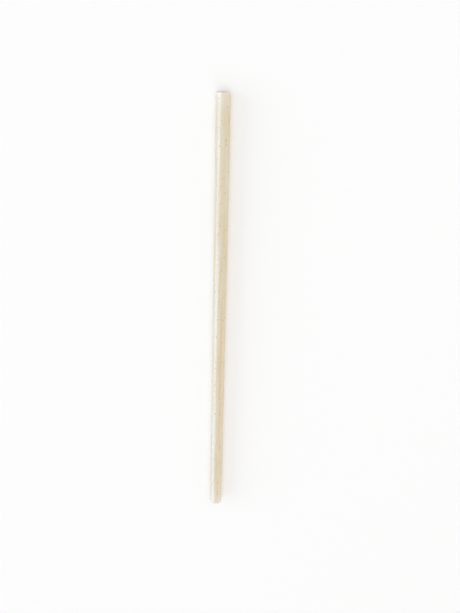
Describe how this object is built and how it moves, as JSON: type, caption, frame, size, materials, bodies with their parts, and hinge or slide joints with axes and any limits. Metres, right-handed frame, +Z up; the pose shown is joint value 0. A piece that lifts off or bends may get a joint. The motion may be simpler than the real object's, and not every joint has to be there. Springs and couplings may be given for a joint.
{
  "type": "drinking straw",
  "caption": "Straight round drinking straw of speckled plant-fibre plastic, open at both square-cut ends.",
  "frame": {"origin": "on the floor under the middle of the straw, at the bottom centre of its box", "axes": "+Y along the straw towards the end at the top of the picture, +Z up from the floor that it lies on"},
  "size_m": [0.006, 0.21, 0.0059],
  "materials": {
    "plant_fibre_plastic": "satin"
  },
  "bodies": {
    "root": {"straw_tube": "plant_fibre_plastic"}
  },
  "joints": []
}
